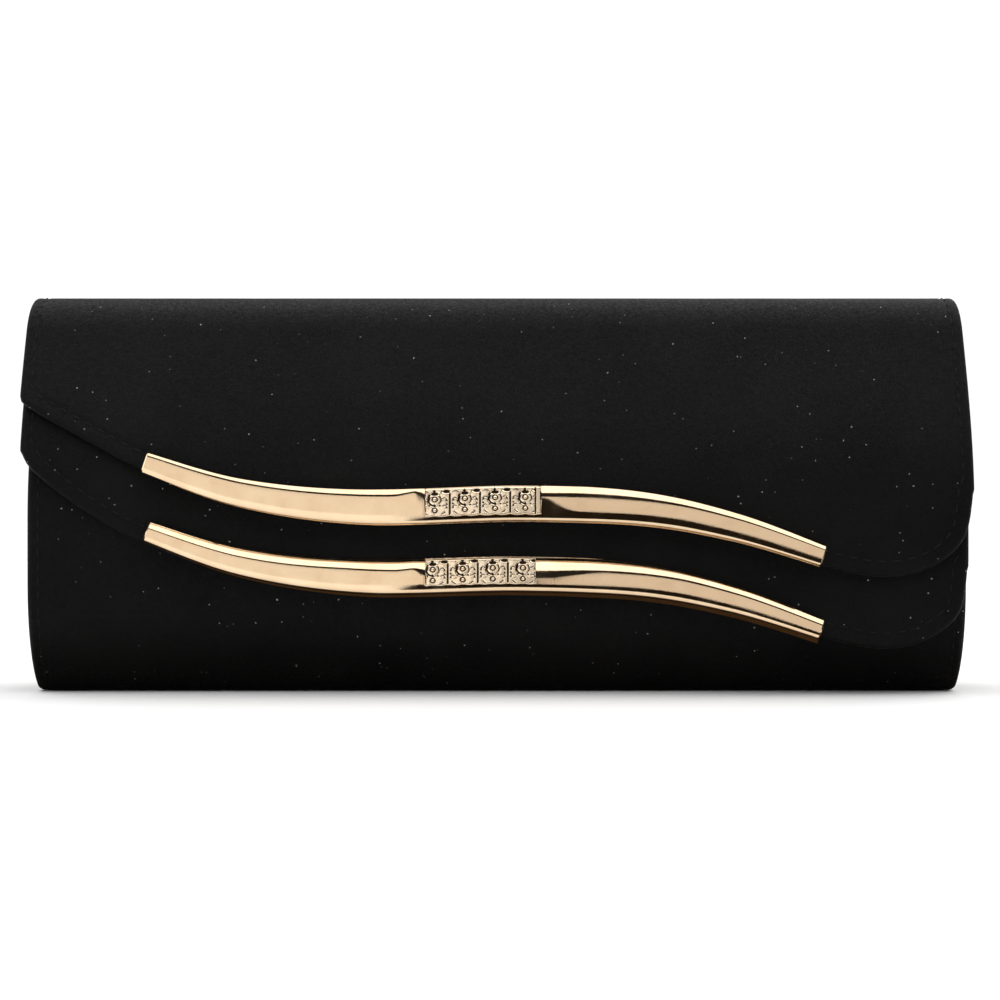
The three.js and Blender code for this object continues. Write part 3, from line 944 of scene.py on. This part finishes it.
def gusset(side, name):
    """A pleated end wall between the front and the back of the lining."""
    depth = BODY_LINING[1] + GAP
    lowest = BODY_LINE.nearest([0, 0])
    z = np.linspace(GUSSET["bottom"], GUSSET["top"], 60)
    front_at = BODY_LINE.at_height(z, depth, 0.0, lowest - 6)
    back_at = BODY_LINE.at_height(z, depth, lowest + 6, BODY_HINGE)
    front = BODY_LINE.place(0.0, front_at, depth)[:, 1]
    back = BODY_LINE.place(0.0, back_at, depth)[:, 1]
    share = np.linspace(-1, 1, 61)
    crease = np.sqrt(share**2 + PLEAT["rounding"]) - math.sqrt(PLEAT["rounding"])
    fold = 1 - crease / crease[0]
    flat = fold * (PLEAT["main"] + PLEAT["side"] * np.cos(share * math.pi * 3))
    wide = (back - front) / (2 * (HALF_DEPTH - depth))
    y = front[:, None] + (share + 1) / 2 * (back - front)[:, None]
    x = side * (GUSSET["edge"] - GUSSET["fold"] * wide[:, None] * flat)
    maker = Maker()
    maker.quads(maker.add(np.stack([x, y, np.broadcast_to(z[:, None], x.shape)], axis=-1)))
    made = maker.piece(f"{name}_pleated", FABRIC_LOOK, (0, (side, 0, 0)))
    thicken(made, GUSSET["thickness"])
    attach(made, "body", "glitter_fabric", name)


# Flaps


def flap(name, edge, depth, begin, bodies, bend):
    """Fabric, stitches, stiffener and lining of one flap."""
    place = (bodies[1], bodies, bend, FLAP_LINE, FLAP_HINGE, flap_fold)
    sheet = flap_sheet(edge, depth, begin)
    cover = wrapped(f"{name}_fabric", sheet, FLAP_WRAP, (6.0, 7.0), FABRIC_LOOK)
    hang(cover, "glitter_fabric", [f"{name}_cover"], *place)
    path = sheet.rim(STITCH["side"], STITCH["edge"])
    seam = stitches(f"{name}_stitches", sheet, path[4:-4], GROOVE_DEPTH, THREAD_LOOK)
    hang(seam, "glitter_fabric", [], *place)
    lining = slab(f"{name}_satin", sheet, FLAP_LINING, 4.2, 4.6, SATIN_LOOK)
    hang(lining, "satin_lining", [f"{name}_lining"], *place)
    board = slab(f"{name}_stiffener", sheet, FLAP_BOARD, 1.6, 1.6, FELT_LOOK, begin=BOARD_START - begin)
    attach(board, bodies[1], "interlining", f"{name}_board")


# Bars

BAR_STATIONS = 520
BAR_POINTS_ACROSS = 121
BAR_FULLNESS = 1.12
SECTION_BLUR = 1.2  # the rows below are averaged over that much to each side in X
SEAT = {"depth": 0.5, "ramp": 0.6, "edge": 0.1}
BAR_END_DROP = 0.35
# How a bar's face leans along its length. Every row is an X, then four places across from -1 to 1: where the
# low bevel meets the face, where the face stops leaning down, where it leans up, where the top bevel begins
UPPER_FACE = [
    [-91.0, -0.78, -0.50, 0.67, 0.80], [-73.0, -0.78, -0.50, 0.66, 0.83], [-52.0, -0.78, -0.50, 0.62, 0.77],
    [-26.0, -0.78, -0.50, 0.57, 0.73], [-20.2, -0.80, -0.64, 0.82, 0.91], [-18.8, -0.80, -0.64, 0.30, 0.86],
    [10.5, -0.80, 0.30, 0.37, 0.68], [13.5, -0.80, 0.28, 0.37, 0.68], [16.5, -0.80, -0.20, 0.38, 0.69],
    [20.0, -0.79, -0.43, 0.39, 0.70], [30.0, -0.78, -0.43, 0.40, 0.71], [48.0, -0.74, -0.36, 0.50, 0.69],
    [70.0, -0.79, -0.43, 0.53, 0.66], [85.0, -0.79, -0.43, 0.56, 0.68],
]
LOWER_FACE = [
    [-91.0, -0.74, -0.50, 0.33, 0.40], [-60.0, -0.74, -0.50, 0.33, 0.44], [-40.0, -0.74, -0.50, 0.40, 0.52],
    [-26.0, -0.74, -0.42, 0.33, 0.45], [-21.0, -0.74, -0.42, 0.45, 0.55], [-18.8, -0.74, -0.42, 0.05, 0.52],
    [10.0, -0.71, -0.52, -0.18, 0.39], [14.0, -0.71, -0.52, -0.15, 0.39], [27.0, -0.71, -0.51, 0.28, 0.42],
    [48.0, -0.71, -0.42, 0.42, 0.57], [85.0, -0.76, -0.47, 0.38, 0.53],
]
# The tilt in degrees down the low bevel, by the place across, and at those four places
UPPER_TILT = {"low": [[-1.0, -62.0], [-0.92, -38.0], [-0.86, -27.0]], "face": [-14.0, -1.1, 6.6, 21.0]}
LOWER_TILT = {"low": [[-1.0, -78.0], [-0.93, -54.0], [-0.86, -32.0]], "face": [-10.5, 0.3, 8.1, 21.0]}
TOP_BEVEL = [[0.93, 46.0], [1.0, 66.0]]
# How far the sloping underside reaches out below the low bevel, by X
UPPER_LIP = [[-91.0, 0.0], [85.0, 0.3]]
LOWER_LIP = [[-91.0, 0.1], [-60.0, 0.5], [0.0, 0.75], [85.0, 1.2]]
LIP_SLOPE = 1.12
BAR_SHARP_DEG = 20

# The ornament's panel on each bar: its ends in X, its edges across the bar, and the X of its first bead
UPPER_PANEL = {"left": -18.6, "right": 11.5, "low": -0.60, "high": 0.93, "bead": -16.0, "end_cap": 1.5}
LOWER_PANEL = {"left": -18.6, "right": 10.2, "low": -0.50, "high": 0.93, "bead": -16.6, "end_cap": 0.0}


def bar_curve(lowered):
    points = np.array(BAR_LINE, float)
    if lowered:
        dense = resample(spline(points), 401)
        centre = dense[200]
        c, s = math.cos(LOWER_BAR_TURN), math.sin(LOWER_BAR_TURN)
        points = (points - centre) @ np.array([[c, s], [-s, c]]) + centre - [0, LOWER_BAR_DROP]
    return spline(points)


def bar_frame(curve, count):
    """Centres, directions and half-widths of stations along a bar."""
    centres = resample(curve, count)
    along = unit(np.gradient(centres, axis=0))
    u = np.linspace(0, 1, count)
    fullness = np.minimum(1, np.sin(math.pi * u) * BAR_FULLNESS)
    half = BAR_END_HALF_WIDTH + (BAR_MIDDLE_HALF_WIDTH - BAR_END_HALF_WIDTH) * fullness
    return centres, along, half


def face_drop(x, w, sections, tilts):
    """How far the bar's face lies below its highest line at stations x and places w, for half-width 1."""
    sections = np.array(sections)
    steps = 5
    fine = np.linspace(-1, 1, 801)
    drops = []
    for at in x:
        near = at + np.linspace(-SECTION_BLUR, SECTION_BLUR, steps)
        places = [np.interp(near, sections[:, 0], sections[:, k]).mean() for k in range(1, 5)]
        table = np.array([*tilts["low"], *zip(places, tilts["face"]), *TOP_BEVEL])
        slope = np.tan(np.radians(np.interp(fine, table[:, 0], table[:, 1])))
        drop = np.concatenate([[0], np.cumsum((slope[1:] + slope[:-1]) / 2) * (fine[1] - fine[0])])
        drops.append(np.interp(w, fine, drop - drop.min()))
    return np.array(drops)


def bar(name, lowered, face_y, panel, body, sections, tilts, lip):
    """A polished bar with a seat for its ornament."""
    back = face_y - GAP
    centres, along, half = bar_frame(bar_curve(lowered), BAR_STATIONS)
    w = np.linspace(-1, 1, BAR_POINTS_ACROSS)
    x = centres[:, :1]
    height = BAR_HEIGHT - half[:, None] * face_drop(centres[:, 0], w, sections, tilts)
    ends = np.minimum(np.arange(BAR_STATIONS), np.arange(BAR_STATIONS)[::-1])[:, None]
    height = height - np.interp(ends, [0, 1], [BAR_END_DROP, 0.0])
    seat = smoothstep((x - panel["left"]) / SEAT["ramp"]) * smoothstep((panel["right"] - x) / SEAT["ramp"])
    height = height - SEAT["depth"] * seat * smoothstep((w[None, :] - panel["low"]) / SEAT["edge"])
    across = turned_left(along)
    flat = centres[:, None] + across[:, None] * (half[:, None] * w[None, :])[..., None]
    front = np.stack([flat[..., 0], back - height, flat[..., 1]], axis=-1)
    out = np.interp(centres[:, 0], *np.array(lip).T)
    under = front[:, :1] + np.stack([0 * out, LIP_SLOPE * out, -out], axis=-1)[:, None]
    foot = np.concatenate([under, front[:, -1:]], axis=1)
    foot[..., 1] = back
    maker = Maker()
    maker.tube(maker.add(np.concatenate([foot[:, :1], under, front, foot[:, 1:]], axis=1)))
    made = maker.piece(f"{name}_polished", GOLD_LOOK, sharp_deg=BAR_SHARP_DEG)
    attach(made, body, "gold_metal", name)


BEAD_PITCH = 7.8
PLATE_LEAN = 0.07  # how much the ornament's plate faces up
PLATE_DROP = 0.05
PLATE_FOOT = 0.7  # how far in front of the bar's back the plate's foot lies
PLATE_ROUNDING = 0.45
RELIEF_FADE = 0.35  # how far from the plate's edge the relief is at full height
SCALLOP = 0.25
GROOVE_CUT = 0.2
PIT_CUT = 0.4
TILE_BORDER = 0.14
END_CUT_WIDTH = 0.13

# One tile of the ornament, about its middle. Cut lines are arcs, as (X, Z, radius, from degree, to degree,
# width)
TILE_LINES = [
    [0.0, 0.8, 0.66, 0, 360, 0.12], [0.0, 0.8, 1.65, 140, 260, 0.27], [0.0, 0.8, 1.6, -50, 30, 0.11],
    [0.0, -2.05, 0.62, 0, 360, 0.12], [2.55, 0.55, 0.55, -30, 150, 0.13], [-2.55, 0.55, 0.55, 30, 210, 0.13],
    [2.55, -1.45, 0.6, -10, 130, 0.13], [-2.55, -1.45, 0.6, 50, 190, 0.13], [1.2, -1.4, 1.8, -64, -38, 0.17],
    [-1.2, -1.4, 1.8, -142, -116, 0.17],
]
# Pits, as (X, Z, half width, half height)
TILE_PITS = [
    [0.0, 2.15, 1.05, 0.42], [-0.1, 2.75, 0.3, 0.5], [0.0, -0.85, 0.24, 0.36], [3.1, 2.75, 1.1, 0.45],
    [1.35, -0.85, 0.2, 0.22], [-1.35, -0.85, 0.2, 0.22], [3.1, -0.5, 0.18, 0.26], [-3.1, -0.4, 0.18, 0.26],
]
# Domes, as (X, Z, radius, height)
TILE_DOMES = [
    [0.0, 0.8, 0.55, 0.40], [0.0, -2.05, 0.5, 0.34], [0.0, 0.5, 1.6, 0.06], [2.3, -0.5, 1.3, 0.04],
    [-2.3, -0.5, 1.3, 0.04], [2.4, 1.8, 1.2, 0.04], [-2.4, 1.8, 1.2, 0.04],
]


def arc_distance(x, y, centre, radius, from_deg, to_deg):
    """Distance of points from an arc in the panel's plane."""
    middle = math.radians((from_deg + to_deg) / 2)
    half = math.radians((to_deg - from_deg) / 2)
    dx, dy = x - centre[0], y - centre[1]
    turn = (np.arctan2(dy, dx) - middle + math.pi) % (2 * math.pi) - math.pi
    near = np.clip(turn, -half, half) + middle
    return np.hypot(dx - radius * np.cos(near), dy - radius * np.sin(near))


def tile_relief(x, y):
    """Height over the plate at a place in a tile, and how deep in a cut it lies, from 0 to 1."""
    raised = np.zeros(np.broadcast(x, y).shape)
    for cx, cy, radius, height in TILE_DOMES:
        share = 1 - (np.hypot(x - cx, y - cy) / radius) ** 2
        raised = np.maximum(raised, height * np.maximum(share, 0) ** 0.7)
    cut = np.exp(-(((np.abs(x) - BEAD_PITCH / 2) / TILE_BORDER) ** 2)) * smoothstep((2.6 - y) / 0.3)
    for cx, cy, radius, from_deg, to_deg, width in TILE_LINES:
        distance = arc_distance(x, y, (cx, cy), radius, from_deg, to_deg)
        cut = np.maximum(cut, np.exp(-((distance / width) ** 2)))
    pit = np.zeros(raised.shape)
    for cx, cy, half_width, half_height in TILE_PITS:
        share = ((x - cx) / half_width) ** 2 + ((y - cy) / half_height) ** 2
        pit = np.maximum(pit, np.exp(-(share**2)))
    return raised - GROOVE_CUT * cut - PIT_CUT * pit, np.maximum(cut, pit)


def ornament(name, lowered, face_y, panel, body):
    """The cast ornament: four tiles of beads and scrolls, with painted shade in the cuts."""
    back = face_y - GAP
    centres, _, half = bar_frame(bar_curve(lowered), 1200)
    x = np.linspace(panel["left"], panel["right"], 430)
    centre_z = np.interp(x, centres[:, 0], centres[:, 1])
    half_width = np.interp(x, centres[:, 0], half)
    v = np.linspace(0, 1, 104)
    scallop = SCALLOP * np.abs(np.sin((x - panel["bead"]) / BEAD_PITCH * 2 * math.pi))
    low = panel["low"] * half_width - scallop
    high = panel["high"] * half_width
    z_local = low[:, None] + (high - low)[:, None] * v[None, :]
    middle = (low + high + scallop)[:, None] / 2
    tile_x = (x - panel["bead"] + BEAD_PITCH / 2) % BEAD_PITCH - BEAD_PITCH / 2
    relief, recess_shade = tile_relief(tile_x[:, None], z_local - middle)
    end_cut = np.exp(-(((panel["right"] - panel["end_cap"] - x) / END_CUT_WIDTH) ** 2))[:, None]
    plain = smoothstep((x - panel["right"] + panel["end_cap"]) / 0.2)[:, None]
    relief = relief * (1 - plain) - GROOVE_CUT * end_cut
    recess_shade = np.maximum(recess_shade * (1 - plain), end_cut)
    inside = np.minimum(x - panel["left"], panel["right"] - x)[:, None]
    inside = np.minimum(inside, np.minimum(z_local - low[:, None], high[:, None] - z_local))
    edge = np.maximum(1 - inside / PLATE_ROUNDING, 0)
    rounded = PLATE_ROUNDING * (1 - np.sqrt(np.maximum(1 - edge**2, 0)))
    lean = PLATE_LEAN * (z_local - middle)
    shown = smoothstep(inside / RELIEF_FADE)
    height = BAR_HEIGHT - PLATE_DROP - lean - rounded + relief * shown
    across = np.broadcast_to(x[:, None], z_local.shape)
    points = np.stack([across, back - height, centre_z[:, None] + z_local], axis=-1)
    maker = Maker()
    index = maker.add(points)
    maker.quads(index)
    foot_points = points.copy()
    foot_points[..., 1] = back - PLATE_FOOT
    foot = maker.add(loop_of(foot_points))
    maker.band(loop_of(index), foot)
    maker.face(foot)
    made = maker.piece(f"{name}_ornament", CAST_LOOK, sharp_deg=60)
    # How deep in a cut each point lies, kept on the mesh for the painted shade in the cuts
    depth = np.zeros(maker.count)
    depth[: index.size] = (recess_shade * shown).reshape(-1)
    made.data.attributes.new("recess_shade", "FLOAT", "POINT").data.foreach_set("value", depth)
    attach(made, body, "gold_metal")


# Hardware


def snap():
    """The two halves of the magnetic snap."""
    back = FRONT_Y + 1.6
    rim = FRONT_Y - SNAP_PROUD
    socket = [
        (0, back), (5.7, back), (6.0, back - 0.15), (6.15, back - 0.5), (6.15, rim + 0.15),
        (SNAP_RADIUS, rim + 0.12), (6.35, rim + 0.03), (6.1, rim), (4.3, rim), (4.1, rim + 0.12),
        (3.7, rim + 0.12), (3.4, rim + 0.3), (3.35, rim + 1.3), (3.2, rim + 1.4), (0, rim + 1.4),
    ]
    made = lathe("snap_socket_cap", socket, SNAP_Z, NICKEL_LOOK)
    attach(made, "body", "nickel_hardware", "snap_socket")
    front = INNER_FACE_Y + 2.1
    face = INNER_FACE_Y + FLAP_THICKNESS
    stud = [
        (0, front), (5.9, front), (6.35, front + 0.1), (6.5, front + 0.25), (6.3, face + 0.02),
        (5.8, face + 0.1), (4.6, face + 0.1), (4.3, face), (2.5, face), (2.1, face + 0.1),
        (1.75, face + 0.35), (1.9, face + 0.7), (2.0, face + 0.95), (1.8, face + 1.15),
        (1.3, face + 1.2), (0, face + 1.2),
    ]
    made = lathe("snap_stud_cap", stud, SNAP_Z, NICKEL_LOOK)
    attach(made, "inner_flap", "nickel_hardware", "snap_stud")


def carried_hardware():
    """The washers and screws of the frame, in nickel."""
    for name in frame["nodes"]:
        if "screw" in name or "washer" in name:
            repaint(name, NICKEL_LOOK)


# Studio

CAMERA_AT = (0.00086, -0.604, 0.0510)
CAMERA_LENS = 79.74
# The cards' height and corners, as (X, Y), in metres
CARD_HEIGHT = 0.0003
FLOOR_CARD = [[-0.065, -1.34], [0.5, -1.34], [0.22, -0.1], [-0.028, -0.1]]
# The contact card is painted shadow: a brownish sheet along the purse's foot, seen only in reflections,
# standing in for the floor's contact shadow there
CONTACT_SHADOW_CARD = [[-0.135, -0.037], [0.135, -0.037], [0.135, 0.0], [-0.135, 0.0]]
FLOOR_RADIUS = 1300.0  # millimetres, as is its height
FLOOR_Z = -0.2


def camera():
    data = bpy.data.cameras.new("camera")
    data.lens = CAMERA_LENS
    data.sensor_width = 36
    made = new_object("camera", data)
    made.location = CAMERA_AT
    made.rotation_euler = (math.radians(90), 0, 0)
    bpy.context.scene.camera = made


def softbox(name, place, aim, size, radiance, colour=(1, 1, 1)):
    """A rectangular light of an even radiance, turned towards a point."""
    data = bpy.data.lights.new(name, "AREA")
    data.shape = "RECTANGLE"
    data.size, data.size_y = size
    data.energy = radiance * math.pi * size[0] * size[1]
    data.color = colour
    made = new_object(name, data)
    made.location = place
    away = [a - p for a, p in zip(aim, place)]
    made.rotation_euler = Vector(away).to_track_quat("-Z", "Y").to_euler()
    made.visible_camera = False


def dark_card(name, corners, colour):
    """A dark card just above the floor that only reflections see."""
    maker = Maker()
    maker.face(maker.add(np.array([[x, y, CARD_HEIGHT] for x, y in corners]) / MM))
    made, tree, shader = material(name)
    fill(tree, shader, Base_Color=(*colour, 1), Roughness=0.9, Specular_IOR_Level=0.0)
    card = maker.piece(name, made)
    card.visible_camera = False
    card.visible_diffuse = False
    card.visible_shadow = False


def world():
    """A white studio for the camera, a dim one for what it lights, and a nearly black one for reflections."""
    made = bpy.data.worlds.new("studio")
    made.use_nodes = True
    tree = made.node_tree
    background = tree.nodes["Background"]
    rays = node(tree, "ShaderNodeLightPath")
    seen = spread(tree, rays.outputs["Is Camera Ray"], 0.12, 1.05)
    mirrored = spread(tree, rays.outputs["Is Glossy Ray"], 0.0, -0.1)
    fill(tree, background, Strength=maths(tree, "ADD", seen, mirrored), Color=(1, 1, 1, 1))
    bpy.context.scene.world = made


def studio():
    """The floor, the lights, a dark card, a card of painted contact shadow and the world."""
    maker = Maker()
    turn = full_turn(96)
    x, y = FLOOR_RADIUS * np.cos(turn), FLOOR_RADIUS * np.sin(turn)
    maker.face(maker.add(np.column_stack([x, y, np.full(len(turn), FLOOR_Z)])))
    floor = maker.piece("floor", floor_paper(), (0, (0, 0, 1)))
    softbox("top_light", (0, -0.2, 1.6), (0, -0.2, 0), (4.4, 4.4), 1.75)
    softbox("front_left", (-0.225, -1.35, 0.16), (-0.225, 0, 0.16), (0.47, 0.42), 0.98, (1.0, 0.98, 0.95))
    softbox("front_right", (0.235, -1.35, 0.16), (0.235, 0, 0.16), (0.39, 0.38), 0.80, (1.0, 0.96, 0.93))
    softbox("back_light", (1.1, 1.9, 0.7), (0.05, 0, 0.08), (2.2, 1.1), 1.6, (1.0, 0.95, 0.9))
    softbox("left_light", (-2.0, 0.3, 0.6), (0, 0, 0.05), (1.3, 1.0), 1.5)
    softbox("right_light", (2.0, 0.3, 0.6), (0, 0, 0.05), (1.3, 1.0), 1.5)
    dark_card("floor_card", FLOOR_CARD, (0.01, 0.008, 0.006))
    # Painted contact shadow: a brownish sheet by the purse's foot, so the bars' undersides reflect a shaded
    # floor
    dark_card("contact_shadow_card", CONTACT_SHADOW_CARD, (0.08, 0.05, 0.028))
    world()
    bpy.context.scene.view_settings.view_transform = "Standard"


body_fabric()
body_lining()
hinge_strip()
boards()
pocket()
gusset(-1, "gusset_left")
gusset(1, "gusset_right")
flap("inner_flap", INNER_FLAP_EDGE, INNER_FLAP_IN, INNER_BEND[0], ("body", "inner_flap"), INNER_BEND)
flap("outer_flap", OUTER_FLAP_EDGE, 0.0, OUTER_BEND[0], ("inner_flap", "outer_flap"), OUTER_BEND)
UPPER = ("upper_bar", False, OUTERMOST_Y, UPPER_PANEL, "outer_flap")
LOWER = ("lower_bar", True, INNER_FACE_Y, LOWER_PANEL, "inner_flap")
bar(*UPPER, UPPER_FACE, UPPER_TILT, UPPER_LIP)
bar(*LOWER, LOWER_FACE, LOWER_TILT, LOWER_LIP)
ornament(*UPPER)
ornament(*LOWER)
snap()
carried_hardware()
camera()
studio()
